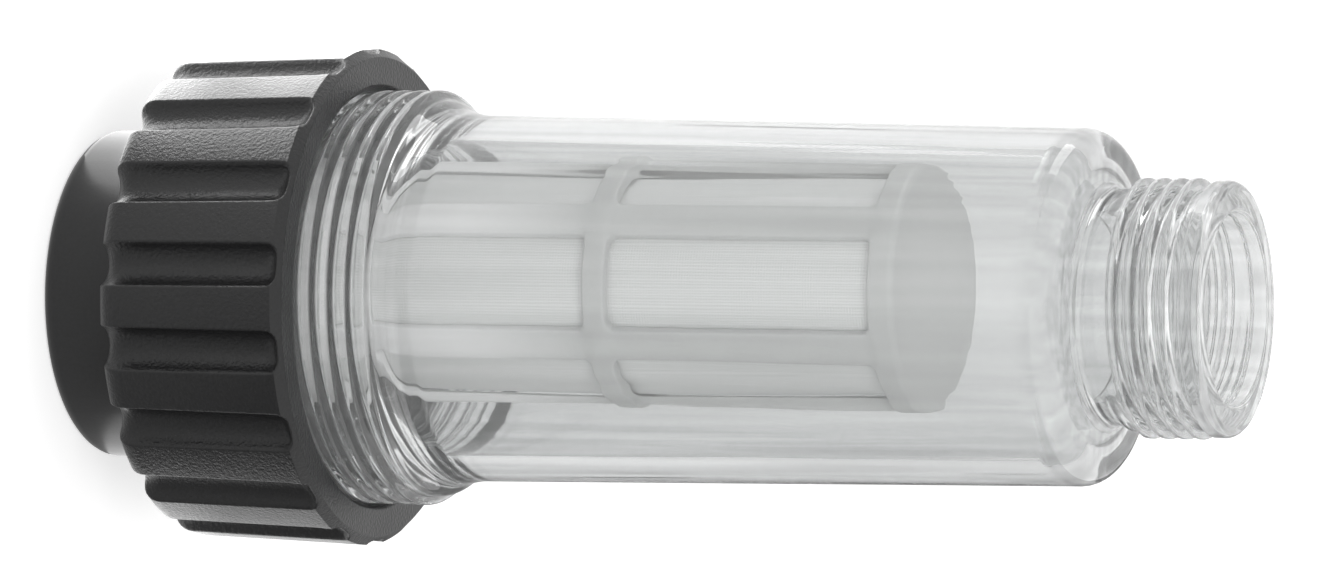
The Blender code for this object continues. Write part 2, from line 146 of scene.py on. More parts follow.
def rounded(corners, closed=True):
    """A profile through corners of (radius, height, fillet, spacing after it), as an array of (radius, height).

    Each fillet is the arc that touches both straight sides, of points at even turns about its centre. A
    straight side gets points no further apart than its spacing, and one close to each end, which keeps
    smooth shading from bending the flat beside a fillet.
    """
    count = len(corners)
    places = np.array([corner[:2] for corner in corners])
    arcs = []
    for index, (_, _, fillet, _) in enumerate(corners):
        here = places[index]
        if fillet == 0 or not closed and index in (0, count - 1):
            arcs.append(here[None])
            continue
        before = places[index - 1] - here
        after = places[(index + 1) % count] - here
        before_length, after_length = np.linalg.norm(before), np.linalg.norm(after)
        before, after = before / before_length, after / after_length
        half = math.acos(np.clip(before @ after, -1, 1)) / 2
        cut = min(fillet / math.tan(half), 0.45 * before_length, 0.45 * after_length)
        middle = (before + after) / np.linalg.norm(before + after)
        centre = here + middle * cut / math.cos(half)
        turned = math.pi / 2 - half
        steps = max(ARC_STEPS, math.ceil(cut / ARC_SPACING))
        turn = np.linspace(-turned, turned, steps + 1)[:, None]
        spokes = ((here - centre) * np.cos(turn) + (after - before) / np.linalg.norm(after - before) * np.linalg.norm(here - centre) * np.sin(turn)) * math.sin(half)
        arcs.append(centre + spokes)
    line = []
    for index, arc in enumerate(arcs):
        line.append(arc)
        if not closed and index == count - 1:
            continue
        start, end = arc[-1], arcs[(index + 1) % count][0]
        length = np.linalg.norm(end - start)
        spacing = corners[index][3]
        inner = min(SUPPORT, length / 3)
        steps = max(1, math.ceil((length - 2 * inner) / spacing))
        along = np.linspace(inner, length - inner, steps + 1)[:, None]
        line.append(start + (end - start) * along / length)
    return np.concatenate(line)


def angles_round(count):
    return np.arange(count) * math.tau / count


corner_arc = rounded([(1 * MM, 0, 0, MM), (2 * MM, 0, 0.3 * MM, MM), (2 * MM, 1 * MM, 0, MM)], closed=False)
print("a profile with one rounded corner has", len(corner_arc), "points")

# %% [markdown]
# The grid becomes a mesh in one step: the corners of every cell are worked out as whole arrays. A profile
# that is closed on itself gives a ring. One that starts and ends on the axis gives a closed body, and its
# first and last row shrink to one point each.


# %% Grids as meshes
SEAM = 0.003 * MM


def carried_round(radius, height, angle, centre_x=0.0):
    """Points on a grid: x = centre + r cos a, y = r sin a, z = h. Rows follow the profile, columns the angle."""
    radius, height, angle = np.broadcast_arrays(radius, height, angle)
    return np.stack([centre_x + radius * np.cos(angle), radius * np.sin(angle), height], axis=-1)


def cells_of(points, closed, first):
    """Each cell's four corners. Columns always close on themselves, rows only where closed."""
    rows, columns = points.shape[:2]
    row = np.arange(rows if closed else rows - 1)[:, None]
    column = np.arange(columns)[None, :]
    here, below = row * columns, (row + 1) % rows * columns
    beside = (column + 1) % columns
    return first + np.stack([here + column, below + column, below + beside, here + beside], axis=-1).reshape(-1, 4)


def mesh_of(name, grids, closed=True):
    """One smooth object from one grid or more. Points that fall together, as at a pole or a seam, are merged."""
    firsts = np.cumsum([0] + [grid.shape[0] * grid.shape[1] for grid in grids])
    points = np.concatenate([grid.reshape(-1, 3) for grid in grids])
    quads = np.concatenate([cells_of(grid, closed, first) for grid, first in zip(grids, firsts)])
    mesh = bpy.data.meshes.new(name)
    mesh.vertices.add(len(points))
    mesh.vertices.foreach_set("co", points.astype(np.float32).ravel())
    mesh.loops.add(quads.size)
    mesh.loops.foreach_set("vertex_index", quads.astype(np.int32).ravel())
    mesh.polygons.add(len(quads))
    mesh.polygons.foreach_set("loop_start", np.arange(0, quads.size, 4, dtype=np.int32))
    mesh.update(calc_edges=True)
    if not closed:
        merged = bmesh.new()
        merged.from_mesh(mesh)
        bmesh.ops.remove_doubles(merged, verts=merged.verts, dist=SEAM)
        merged.to_mesh(mesh)
        merged.free()
    mesh.shade_smooth()
    piece = bpy.data.objects.new(name, mesh)
    bpy.context.scene.collection.objects.link(piece)
    print(f"{name}: {len(mesh.polygons)} faces")
    return piece


def place(piece, body, node, material):
    """Gives a piece its material and says which body it rides on and which node it stands for."""
    piece.data.materials.append(material)
    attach(piece, body)
    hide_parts(node)


# %% [markdown]
# ## Threads
#
# A thread is a ridge that climbs with the angle. At each point of the grid the formula finds the nearest
# crest along the axis, and the ridge's height falls from it to the root on both sides. A smooth step for
# that fall rounds the crest and the root, as on a moulded thread. Near its ends the ridge fades out.

# %% Threads
MAIN_PITCH = 2.0 * MM
MAIN_LEAD = math.radians(-142.0)
MAIN_DEPTH = 0.9 * MM
MAIN_CREST = 0.65 * MM
MAIN_ROOT = 1.95 * MM
PIPE_PITCH = 1.814 * MM
PIPE_LEAD = math.radians(-179.0)
PIPE_DEPTH = 1.16 * MM
PIPE_CREST = 0.35 * MM
PIPE_ROOT = 1.45 * MM
PIPE_CREST_RADIUS = 13.22 * MM
FADE_TURNS = 0.3
ROWS_A_TURN = 18


def ridge(angle, height, pitch, lead, crest, root, low, high):
    """A thread's ridge from 0 at the root to 1 at the crest, for arrays of angle and height.

    The distance d to the nearest crest comes from height / pitch - angle / turn, less its whole part. The
    flank runs from d = root / 2 to d = crest / 2 as the smooth step 3 t^2 - 2 t^3.
    """
    turns = height / pitch - (angle - lead) / math.tau
    distance = (turns - np.round(turns)) * pitch
    centre = height - distance
    flank = np.clip((root / 2 - np.abs(distance)) / (root / 2 - crest / 2), 0, 1)
    fade = np.clip((centre - low) / (FADE_TURNS * pitch), 0, 1) * np.clip((high - centre) / (FADE_TURNS * pitch), 0, 1)
    return flank**2 * (3 - 2 * flank) * fade


print("ridge at its crest:", float(ridge(MAIN_LEAD, 10 * MAIN_PITCH, MAIN_PITCH, MAIN_LEAD, MAIN_CREST, MAIN_ROOT, 0, 1)))

# %% [markdown]
# ## The housing
#
# The housing is one clear moulding: a neck with a pipe thread, a round shoulder, a body that narrows
# towards the neck, and a coarse thread for the cap. Its bore is modelled as well, because what the eye
# reads as clear plastic is light bent by two walls with a real thickness.

# %% The housing
SEAT_GAP = 0.3 * MM
BODY_LOW_RADIUS = 19.15 * MM
BODY_HIGH_RADIUS = 18.2 * MM
BODY_WALL = 2.6 * MM
SHOULDER_RADIUS = 5.0 * MM
SHOULDER_WALL = 2.2 * MM
INNER_SHOULDER_RADIUS = 2.4 * MM
INNER_NECK_RADIUS = 1.2 * MM
NECK_LENGTH = 13.45 * MM
NECK_WALL = 2.31 * MM
NECK_LEAD_LENGTH = 2.0 * MM
NECK_LEAD_STEP = 0.2 * MM
NECK_EDGE = 1.0 * MM
NECK_BLEND = 0.9 * MM
MOUTH_EDGE = 0.5 * MM
NOSE_HEIGHT = 4.4 * MM
NOSE_GAP = 1.15 * MM
RING_GROOVE_DEPTH = 1.65 * MM
THREAD_LENGTH = 20.8 * MM
MAIN_THREAD_END = 0.25 * MM
RUN_OUT_LENGTH = 4.2 * MM
RUN_OUT_KNEE_STEP = 0.4 * MM
RUN_OUT_KNEE_HEIGHT = 2.3 * MM
SMALL_FILLET = 0.25 * MM
COLUMNS = 192
COARSE = 4.0 * MM

thread_root = thread_crest - MAIN_DEPTH
pipe_root = PIPE_CREST_RADIUS - PIPE_DEPTH
neck_bore = pipe_root - NECK_WALL
shoulder_top = neck_top - NECK_LENGTH
body_high = shoulder_top - SHOULDER_RADIUS
nose_top = rim + NOSE_HEIGHT
thread_top = nose_top + THREAD_LENGTH
body_low = thread_top + RUN_OUT_LENGTH
nose_radius = thread_root + SEAT_GAP - NOSE_GAP
bore_high = BODY_HIGH_RADIUS - BODY_WALL
bore_taper = (BODY_LOW_RADIUS - BODY_HIGH_RADIUS) / (body_high - body_low)


def housing_corners():
    """The housing's profile, from the mouth of the neck down its outside and up its bore."""
    lead_radius = PIPE_CREST_RADIUS - NECK_LEAD_STEP
    lead_low = neck_top - NECK_LEAD_LENGTH
    groove = nose_radius - RING_GROOVE_DEPTH
    neck_rows = PIPE_PITCH / ROWS_A_TURN
    main_rows = MAIN_PITCH / ROWS_A_TURN
    inner_top = shoulder_top - SHOULDER_WALL
    bore_rim = bore_high + bore_taper * (body_high - rim)
    return [
        (lead_radius, neck_top, NECK_EDGE, neck_rows),
        (lead_radius, lead_low, SMALL_FILLET, neck_rows),
        (pipe_root, lead_low - NECK_LEAD_STEP, SMALL_FILLET, neck_rows),
        (pipe_root, shoulder_top, NECK_BLEND, COARSE),
        (BODY_HIGH_RADIUS, shoulder_top, SHOULDER_RADIUS, COARSE),
        (BODY_LOW_RADIUS, body_low, RUN_OUT_LENGTH, COARSE / 4),
        (BODY_LOW_RADIUS + RUN_OUT_KNEE_STEP, body_low - RUN_OUT_KNEE_HEIGHT, RUN_OUT_LENGTH, COARSE / 8),
        (thread_root, thread_top, RUN_OUT_KNEE_HEIGHT, main_rows),
        (thread_root, nose_top, SMALL_FILLET, COARSE),
        (nose_radius, nose_top, SMALL_FILLET, COARSE),
        (nose_radius, seal_high + SEAT_GAP, SMALL_FILLET, COARSE),
        (groove, seal_high + SEAT_GAP, SMALL_FILLET, COARSE),
        (groove, seal_low - SEAT_GAP, SMALL_FILLET, COARSE),
        (nose_radius, seal_low - SEAT_GAP, SMALL_FILLET, COARSE),
        (nose_radius, rim, MOUTH_EDGE, COARSE),
        (bore_rim, rim, SMALL_FILLET, COARSE),
        (bore_high, inner_top, INNER_SHOULDER_RADIUS, COARSE),
        (neck_bore, inner_top, INNER_NECK_RADIUS, COARSE),
        (neck_bore, neck_top, MOUTH_EDGE, COARSE),
    ]


def housing_surface():
    """The turned profile plus two ridges: r = profile + depth * ridge, on the outside only."""
    profile = rounded(housing_corners())
    angle = angles_round(COLUMNS)[None, :]
    height = profile[:, 1][:, None]
    radius = np.repeat(profile[:, 0][:, None], COLUMNS, axis=1)
    outside = np.arange(len(profile))[:, None] < np.argmin(profile[:, 1])
    main_low = nose_top + MAIN_ROOT
    main_high = thread_top - MAIN_THREAD_END
    main = ridge(angle, height, MAIN_PITCH, MAIN_LEAD, MAIN_CREST, MAIN_ROOT, main_low, main_high)
    neck_low = shoulder_top + NECK_BLEND + PIPE_PITCH
    neck_high = neck_top - NECK_LEAD_LENGTH - PIPE_ROOT / 2
    neck = ridge(angle, height, PIPE_PITCH, PIPE_LEAD, PIPE_CREST, PIPE_ROOT, neck_low, neck_high)
    radius = radius + outside * (MAIN_DEPTH * main + PIPE_DEPTH * neck)
    return mesh_of("clear_housing_shell", [carried_round(radius, height, angle)])


housing = housing_surface()

# %% [markdown]
# ## Clear plastic
#
# The housing is injection moulded styrene-acrylonitrile, a hard clear plastic that bends light a little
# more than window glass. It is polished, but the melt leaves faint lines along the body where it flowed,
# and they show as pale streaks. Where the wall is seen edge on, and on the neck, its colour turns to a
# much darker grey that the flow lines break into streaks: painted shade, with a little real deepening of
# the tint along the longer path through the wall. A glass shader stops lamp light from reaching what is
# inside, so shadow rays go through a plain transparent shader.

# %% Clear plastic
FLOW_LINE_WIDTH = 1.6 * MM
FLOW_LINE_STRETCH = 0.03
FLOW_LINE_HEIGHT = 0.10 * MM
FLOW_LINE_STRENGTH = 0.45
CLEARNESS = 0.93
HAZE_SIZE = 9.0 * MM
EDGE_BLEND = 0.3
NECK_PAINTED_SHADE = 0.24


def clear_plastic():
    """Moulded styrene-acrylonitrile: clear, glossy, flow lines, a trace of haze, painted shade edge on and on the neck.
    """
    material, tree, output = empty_material("styrene_acrylonitrile_moulded_clear")
    place_on = add_node(tree, "ShaderNodeTexCoord").outputs["Object"]
    stretched = add_node(
        tree, "ShaderNodeMapping", {"Scale": (1.0, 1.0, FLOW_LINE_STRETCH)}, {"Vector": place_on}
    ).outputs["Vector"]
    lines = add_node(
        tree,
        "ShaderNodeTexNoise",
        {"Scale": 1 / FLOW_LINE_WIDTH, "Detail": 1.5, "Roughness": 0.4},
        {"Vector": stretched},
    ).outputs["Fac"]
    height = add_node(tree, "ShaderNodeSeparateXYZ", links={0: place_on}).outputs["Z"]
    on_body = add_node(
        tree,
        "ShaderNodeMapRange",
        {"From Min": body_low, "From Max": (2 * body_low + body_high) / 3, "To Max": FLOW_LINE_STRENGTH},
        {"Value": height},
    ).outputs["Result"]
    below_neck = add_node(
        tree,
        "ShaderNodeMapRange",
        {"From Min": body_high, "From Max": shoulder_top, "To Min": 1.0, "To Max": 0.0},
        {"Value": height},
    ).outputs["Result"]
    strength = add_node(
        tree, "ShaderNodeMath", links={0: on_body, 1: below_neck}, operation="MULTIPLY"
    ).outputs["Value"]
    bump = add_node(
        tree, "ShaderNodeBump", {"Distance": FLOW_LINE_HEIGHT}, {"Height": lines, "Strength": strength}
    ).outputs["Normal"]
    faint = add_node(
        tree, "ShaderNodeMix", {6: linear("D6D7D7"), 7: linear("EBECEC")}, {0: lines}, data_type="RGBA"
    ).outputs[2]
    # Painted shade: a much darker streaked grey for where the wall is seen edge on and for the neck.
    sharp_lines = add_node(
        tree, "ShaderNodeMapRange", {"From Min": 0.4, "From Max": 0.6}, {"Value": lines}
    ).outputs["Result"]
    painted_edge_shade = add_node(
        tree, "ShaderNodeMix", {6: linear("888A8A"), 7: linear("D8DADA")}, {0: sharp_lines}, data_type="RGBA"
    ).outputs[2]
    # The painted shade takes over where the wall is seen edge on, and in part on the neck.
    edge_on = add_node(tree, "ShaderNodeLayerWeight", {"Blend": EDGE_BLEND}).outputs["Facing"]
    on_neck = add_node(
        tree,
        "ShaderNodeMapRange",
        {"From Min": body_high, "From Max": shoulder_top + NECK_BLEND, "To Max": NECK_PAINTED_SHADE},
        {"Value": height},
    ).outputs["Result"]
    depth = add_node(tree, "ShaderNodeMath", links={0: edge_on, 1: on_neck}, operation="MAXIMUM").outputs["Value"]
    tint_with_painted_shade = add_node(
        tree, "ShaderNodeMix", links={0: depth, 6: faint, 7: painted_edge_shade}, data_type="RGBA"
    ).outputs[2]
    haze = add_node(
        tree, "ShaderNodeTexNoise", {"Scale": 1 / HAZE_SIZE, "Detail": 2.0}, {"Vector": place_on}
    ).outputs["Fac"]
    roughness = add_node(
        tree, "ShaderNodeMapRange", {"To Min": 0.01, "To Max": 0.06}, {"Value": haze}
    ).outputs["Result"]
    shader = add_node(
        tree,
        "ShaderNodeBsdfPrincipled",
        {"Transmission Weight": CLEARNESS, "IOR": 1.567},
        {"Base Color": tint_with_painted_shade, "Roughness": roughness, "Normal": bump},
    ).outputs["BSDF"]
    through = add_node(tree, "ShaderNodeBsdfTransparent", {"Color": linear("FEFEFE")}).outputs["BSDF"]
    shadow_ray = add_node(tree, "ShaderNodeLightPath").outputs["Is Shadow Ray"]
    mixed = add_node(tree, "ShaderNodeMixShader", links={0: shadow_ray, 1: shader, 2: through})
    tree.links.new(mixed.outputs["Shader"], output.inputs["Surface"])
    return material


place(housing, "clear_housing", "housing", clear_plastic())
print("flow lines", FLOW_LINE_WIDTH / MM, "mm wide")

# %% [markdown]
# ## The cap
#
# The cap is one black moulding: a hub with a pipe socket, a web, a collar for the strainer and a skirt
# with eighteen ribs. Between two ribs lies a round valley, as a ball-nosed cutter would leave it, that
# stops just short of the front rim. In the grid it is a formula too: at each angle the radius is the
# smaller of the plain skirt's and the valley's, and a smooth minimum rounds the edge between them.

# %% The cap
HUB_WALL = 4.1 * MM
HUB_LENGTH = 10.0 * MM
HUB_EDGE = 1.4 * MM
HUB_FILLET = 0.7 * MM
SOCKET_DEPTH = 11.0 * MM
SOCKET_CHAMFER = 1.2 * MM
WEB_THICKNESS = 2.5 * MM
COLLAR_WALL = 1.5 * MM
COLLAR_HEIGHT = 7.0 * MM
COLLAR_PLAY = 2.0 * MM
STRAINER_WALL = 1.1 * MM
BAND_STEP = 0.25 * MM
SKIRT_DRAFT = 0.7 * MM
SKIRT_BACK_EDGE = 2.4 * MM
SKIRT_FRONT_CHAMFER = 0.9 * MM
SKIRT_MOUTH_CHAMFER = 1.2 * MM
RIB_COUNT = 18
RIB_HEIGHT = 1.8 * MM
RIB_PHASE = math.radians(-87.0)
RIB_EDGE = 0.30 * MM
VALLEY_RADIUS = 2.35 * MM
VALLEY_END_RIM = 0.25 * MM
VALLEY_END_POWER = 3.5
HIDDEN_ROWS_A_TURN = 8
SKIRT_ROW = 0.8 * MM
VALLEY_END_ROW = 0.2 * MM

hub_radius = PIPE_CREST_RADIUS + HUB_WALL
web_top = SOCKET_DEPTH + WEB_THICKNESS
cap_bore = thread_root + SEAT_GAP
skirt_back = skirt_front_radius - SKIRT_DRAFT
valley_floor = skirt_back - RIB_HEIGHT
strainer_bore = band_radius - BAND_STEP - STRAINER_WALL
collar_radius = strainer_bore - COLLAR_PLAY
waterway = collar_radius - COLLAR_WALL


def skirt_line(height):
    """The skirt's outer radius, which grows evenly from its back to its front."""
    return skirt_back + SKIRT_DRAFT * (height - HUB_LENGTH) / (skirt_front - HUB_LENGTH)


def cap_corners():
    """The cap's profile, from the front of the skirt down its outside and up through the hub."""
    groove_rows = MAIN_PITCH / HIDDEN_ROWS_A_TURN
    socket_rows = PIPE_PITCH / HIDDEN_ROWS_A_TURN
    valley_ends = skirt_front - VALLEY_END_RIM - VALLEY_RADIUS
    front_edge = skirt_front - SKIRT_FRONT_CHAMFER
    return [
        (skirt_line(front_edge) - SKIRT_FRONT_CHAMFER, skirt_front, SMALL_FILLET / 2, VALLEY_END_ROW),
        (skirt_line(front_edge), front_edge, SMALL_FILLET / 2, VALLEY_END_ROW),
        (skirt_line(valley_ends), valley_ends, 0, SKIRT_ROW),
        (skirt_back, HUB_LENGTH, SKIRT_BACK_EDGE, COARSE),
        (hub_radius, HUB_LENGTH, HUB_FILLET, COARSE),
        (hub_radius, hub_end, HUB_EDGE, COARSE),
        (pipe_root + SOCKET_CHAMFER, hub_end, SMALL_FILLET, COARSE),
        (pipe_root, hub_end + SOCKET_CHAMFER, 0, socket_rows),
        (pipe_root, washer_low - SEAT_GAP, 0, COARSE),
        (pipe_root, SOCKET_DEPTH, SMALL_FILLET, COARSE),
        (waterway, SOCKET_DEPTH, SMALL_FILLET, COARSE),
        (waterway, web_top + COLLAR_HEIGHT, SMALL_FILLET, COARSE),
        (collar_radius, web_top + COLLAR_HEIGHT, MOUTH_EDGE, COARSE),
        (collar_radius, web_top, SMALL_FILLET, COARSE),
        (cap_bore, web_top, SMALL_FILLET, COARSE),
        (cap_bore, nose_top - MAIN_ROOT, 0, groove_rows),
        (cap_bore, skirt_front - SKIRT_MOUTH_CHAMFER, 0, groove_rows),
        (cap_bore + SKIRT_MOUTH_CHAMFER, skirt_front, SMALL_FILLET, COARSE),
    ]


def rib_angles():
    """Columns for the ribs: close together at the edge between land and valley, wider on the flats."""
    half = np.radians([0, 1.1, 2.2, 3.2, 4.0, 4.6, 5.0, 5.3, 5.6, 6.0, 6.8])
    one_rib = np.concatenate([half, math.tau / RIB_COUNT - half[:0:-1], [math.radians(10.0)]])
    one_rib = np.sort(one_rib)
    valley = RIB_PHASE + math.tau / RIB_COUNT / 2
    return (valley + np.arange(RIB_COUNT)[:, None] * math.tau / RIB_COUNT + one_rib[None, :]).ravel()


def smooth_minimum(first, second, width):
    """The smaller of two arrays, blended where they differ by less than the width."""
    share = np.clip(0.5 + 0.5 * (second - first) / width, 0, 1)
    return second * (1 - share) + first * share - width * share * (1 - share)


def skirt_radius(plain, height, angle):
    """The skirt's profile radius, cut by round valleys that lean with the skirt.

    A valley's cutter is a round bar of radius rho with its centre at c. At the angle f from its middle, its
    near side lies at c cos f - sqrt(rho^2 - s^2), where s is c sin f. At its front end s grows with the height
    past the end's start, as (s^p + height^p)^(1/p), which closes the valley squarely with round corners. Round
    the back edge the valley follows the profile inwards at the same depth, and it fades out on the back face.
    """
    pitch = math.tau / RIB_COUNT
    from_valley = (angle - RIB_PHASE) % pitch - pitch / 2
    top = skirt_front - VALLEY_END_RIM
    retreat = np.where(height < HUB_LENGTH + SKIRT_BACK_EDGE, skirt_line(height) - plain, 0)
    centre = skirt_line(height) - RIB_HEIGHT + VALLEY_RADIUS
    above = np.clip(height - (top - VALLEY_RADIUS), 0, VALLEY_RADIUS)
    aside = np.abs(centre * np.sin(from_valley))
    reach = (aside**VALLEY_END_POWER + above**VALLEY_END_POWER) ** (1 / VALLEY_END_POWER)
    inside = VALLEY_RADIUS**2 - reach**2
    bar = centre * np.cos(from_valley) - np.sqrt(np.clip(inside, 0, None)) - retreat
    cut = smooth_minimum(plain, np.where(inside > 0, bar, plain + 2 * RIB_EDGE), RIB_EDGE)
    fade = np.clip((plain - hub_radius - HUB_FILLET) / (skirt_back - SKIRT_BACK_EDGE - hub_radius - HUB_FILLET), 0, 1)
    return plain - (plain - cut) * fade


def cap_surface():
    """The turned profile with ribs outside the skirt and grooves for two threads inside."""
    profile = rounded(cap_corners())
    angle = rib_angles()[None, :]
    height = profile[:, 1][:, None]
    plain = profile[:, 0][:, None]
    row = np.arange(len(profile))[:, None]
    hub_row = np.argmin(profile[:, 1])
    skirt = (row < hub_row) & (plain > hub_radius + HUB_FILLET)
    radius = np.where(skirt, skirt_radius(plain, height, angle), plain)
    groove = ridge(angle, height, MAIN_PITCH, MAIN_LEAD, MAIN_CREST, MAIN_PITCH, nose_top, 2 * skirt_front)
    socket = ridge(angle, height, PIPE_PITCH, 0.0, PIPE_CREST, PIPE_ROOT, -skirt_front, washer_low - PIPE_ROOT)
    in_skirt = (row > hub_row) & (height > nose_top - MAIN_ROOT) & (plain > nose_radius)
    in_socket = (row > hub_row) & (height < washer_low)
    radius = np.where(in_skirt, np.maximum(radius, cap_bore + MAIN_DEPTH * groove), radius)
    radius = np.where(in_socket, np.maximum(radius, pipe_root + PIPE_DEPTH * socket), radius)
    return mesh_of("ribbed_cap_shell", [carried_round(radius, height, angle)])


cap = cap_surface()

# %% [markdown]
# ## Black plastic
#
# The cap is black polypropylene. Its skirt was moulded against a spark-eroded steel face, which leaves a
# fine even grain that breaks the highlights into specks. The hub's face was turned smooth, so it shows a
# soft unbroken sheen. Both are one material here, and the height above the hub's end tells them apart.

# %% Black plastic
GRAIN = 0.36 * MM
GRAIN_HEIGHT = 0.10 * MM
CLOUD = 6.0 * MM


def black_plastic():
    """Moulded black polypropylene: spark grain on the skirt, satin on the hub."""
    material, tree, output = empty_material("polypropylene_moulded_black")
    place_on = add_node(tree, "ShaderNodeTexCoord").outputs["Object"]
    height = add_node(tree, "ShaderNodeSeparateXYZ", links={0: place_on}).outputs["Z"]
    on_skirt = add_node(
        tree,
        "ShaderNodeMapRange",
        {"From Min": HUB_LENGTH - HUB_FILLET, "From Max": HUB_LENGTH},
        {"Value": height},
    ).outputs["Result"]
    grain = add_node(
        tree,
        "ShaderNodeTexNoise",
        {"Scale": 1 / GRAIN, "Detail": 2.0, "Roughness": 0.6},
        {"Vector": place_on},
    ).outputs["Fac"]
    cloud = add_node(
        tree, "ShaderNodeTexNoise", {"Scale": 1 / CLOUD, "Detail": 3.0}, {"Vector": place_on}
    ).outputs["Fac"]
    strength = add_node(
        tree, "ShaderNodeMapRange", {"To Min": 0.06, "To Max": 0.90}, {"Value": on_skirt}
    ).outputs["Result"]
    bump = add_node(
        tree, "ShaderNodeBump", {"Distance": GRAIN_HEIGHT}, {"Height": grain, "Strength": strength}
    ).outputs["Normal"]
    dull = add_node(
        tree, "ShaderNodeMapRange", {"To Min": 0.26, "To Max": 0.27}, {"Value": on_skirt}
    ).outputs["Result"]
    roughness = add_node(
        tree, "ShaderNodeMath", {1: 0.12, 2: 0.0}, {0: cloud, 2: dull}, operation="MULTIPLY_ADD"
    ).outputs["Value"]
    colour = add_node(
        tree,
        "ShaderNodeMix",
        {6: linear("101010"), 7: linear("202021")},
        {0: grain},
        data_type="RGBA",
    ).outputs[2]
    shader = add_node(
        tree,
        "ShaderNodeBsdfPrincipled",
        {"IOR": 1.5},
        {"Base Color": colour, "Roughness": roughness, "Normal": bump},
    )
    tree.links.new(shader.outputs["BSDF"], output.inputs["Surface"])
    return material


place(cap, "cap_body", "cap", black_plastic())
print("grain", GRAIN / MM, "mm")

# %% [markdown]
# ## The two seals
#
# A rubber ring of round section lies in the groove of the housing's nose, and a flat washer lies at the
# bottom of the hub's socket. Both are moulded rubber, matt and a little dusty. A circle and a rounded
# rectangle carried round the axis make them.

# %% The two seals
SECTION_STEPS = 24
WASHER_WIDTH = 3.96 * MM


def seal_surface():
    """A ring of round section: r = R + s cos t and h = H + s sin t, with t falling so that it faces out."""
    section = (seal_high - seal_low) / 2
    turn = -angles_round(SECTION_STEPS)[:, None]
    radius = seal_outer - section + section * np.cos(turn)
    height = (seal_low + seal_high) / 2 + section * np.sin(turn)
    angle = angles_round(COLUMNS)[None, :]
    return mesh_of("housing_seal_ring", [carried_round(radius, height, angle)])


def washer_surface():
    """A flat ring with rounded corners."""
    bore = washer_outer - WASHER_WIDTH
    profile = rounded(
        [
            (washer_outer, washer_high, SMALL_FILLET, COARSE),
            (washer_outer, washer_low, SMALL_FILLET, COARSE),
            (bore, washer_low, SMALL_FILLET, COARSE),
            (bore, washer_high, SMALL_FILLET, COARSE),
        ]
    )
    points = carried_round(profile[:, 0][:, None], profile[:, 1][:, None], angles_round(COLUMNS)[None, :])
    return mesh_of("inlet_washer_ring", [points])


def moulded_rubber():
    """Black nitrile rubber: matt, with a fine dusty mottle."""
    material, tree, output = empty_material("nitrile_rubber_moulded")
    place_on = add_node(tree, "ShaderNodeTexCoord").outputs["Object"]
    dust = add_node(
        tree, "ShaderNodeTexNoise", {"Scale": 1 / (0.8 * MM), "Detail": 4.0}, {"Vector": place_on}
    ).outputs["Fac"]
    colour = add_node(
        tree, "ShaderNodeMix", {6: linear("161616"), 7: linear("262626")}, {0: dust}, data_type="RGBA"
    ).outputs[2]
    bump = add_node(
        tree, "ShaderNodeBump", {"Strength": 0.3, "Distance": 0.02 * MM}, {"Height": dust}
    ).outputs["Normal"]
    shader = add_node(
        tree,
        "ShaderNodeBsdfPrincipled",
        {"Roughness": 0.62, "IOR": 1.52},
        {"Base Color": colour, "Normal": bump},
    )
    tree.links.new(shader.outputs["BSDF"], output.inputs["Surface"])
    return material


rubber = moulded_rubber()
place(seal_surface(), "seal_ring", "housing_seal", rubber)
place(washer_surface(), "cap_body", "inlet_washer", rubber)

# %% [markdown]
# ## The strainer's frame
#
# The strainer is a white cup that stands open end down over the cap's collar. Two rows of six windows
# leave six ribs along it, with a plain band at the foot, a ring between the rows and a closed disc on
# top. A grid can't have holes in it, so the wall is made bay by bay. The section of a window's edge is
# carried round the window's outline, as a moulding is carried round a picture. Each bay's outer edge is
# a plain oblong on the cylinder, so neighbouring bays meet point for point and merge into one wall.

# %% The strainer's frame
END_DISC_EDGE = 0.8 * MM
END_DISC_HEIGHT = 2.8 * MM
END_DISC_WALL = 1.5 * MM
FOOT_BAND_HEIGHT = 17.2 * MM
MIDDLE_BAND_HEIGHT = 2.4 * MM
WINDOW_COUNT = 6
WINDOW_ROWS = 2
WINDOW_RIB_WIDTH = 3.5 * MM
WINDOW_CORNER = 1.0 * MM
WINDOW_EDGE = 0.2 * MM
WINDOW_SUPPORT = 0.6 * MM
ACROSS_STEPS = 9
ALONG_STEPS = 19
CORNER_STEPS = 6

strainer_radius = band_radius - BAND_STEP
bay_angle = math.tau / WINDOW_COUNT
bay_across = bay_angle * strainer_radius / 2
window_floor = strainer_foot + FOOT_BAND_HEIGHT
window_top = strainer_top - END_DISC_HEIGHT
window_height = (window_top - window_floor - MIDDLE_BAND_HEIGHT) / WINDOW_ROWS
ring_low = window_floor + window_height
window_across = bay_across - WINDOW_RIB_WIDTH / 2
bay_up = (window_height + MIDDLE_BAND_HEIGHT) / 2


def half_turn_twice(points):
    """Half of a loop, and the same half turned by 180 degrees about the loop's middle."""
    return np.concatenate([points, -points])


def window_outline(grown):
    """A window's rounded outline, grown by a distance, as (across, up) from its middle, anticlockwise."""
    turn = np.linspace(0, math.pi / 2, CORNER_STEPS + 1)
    flat_across, flat_up = window_across - WINDOW_CORNER, window_height / 2 - WINDOW_CORNER
    up = np.linspace(-flat_up, flat_up, ALONG_STEPS)[1:-1]
    across = np.linspace(flat_across, -flat_across, ACROSS_STEPS)[1:-1]
    reach = WINDOW_CORNER + grown
    corner = np.stack([flat_across + reach * np.cos(turn), flat_up + reach * np.sin(turn)], axis=1)
    side = np.stack([np.full_like(up, flat_across + reach), up], axis=1)
    top = np.stack([across, np.full_like(across, flat_up + reach)], axis=1)
    return half_turn_twice(np.concatenate([side, corner, top, corner[::-1] * (-1, 1)]))


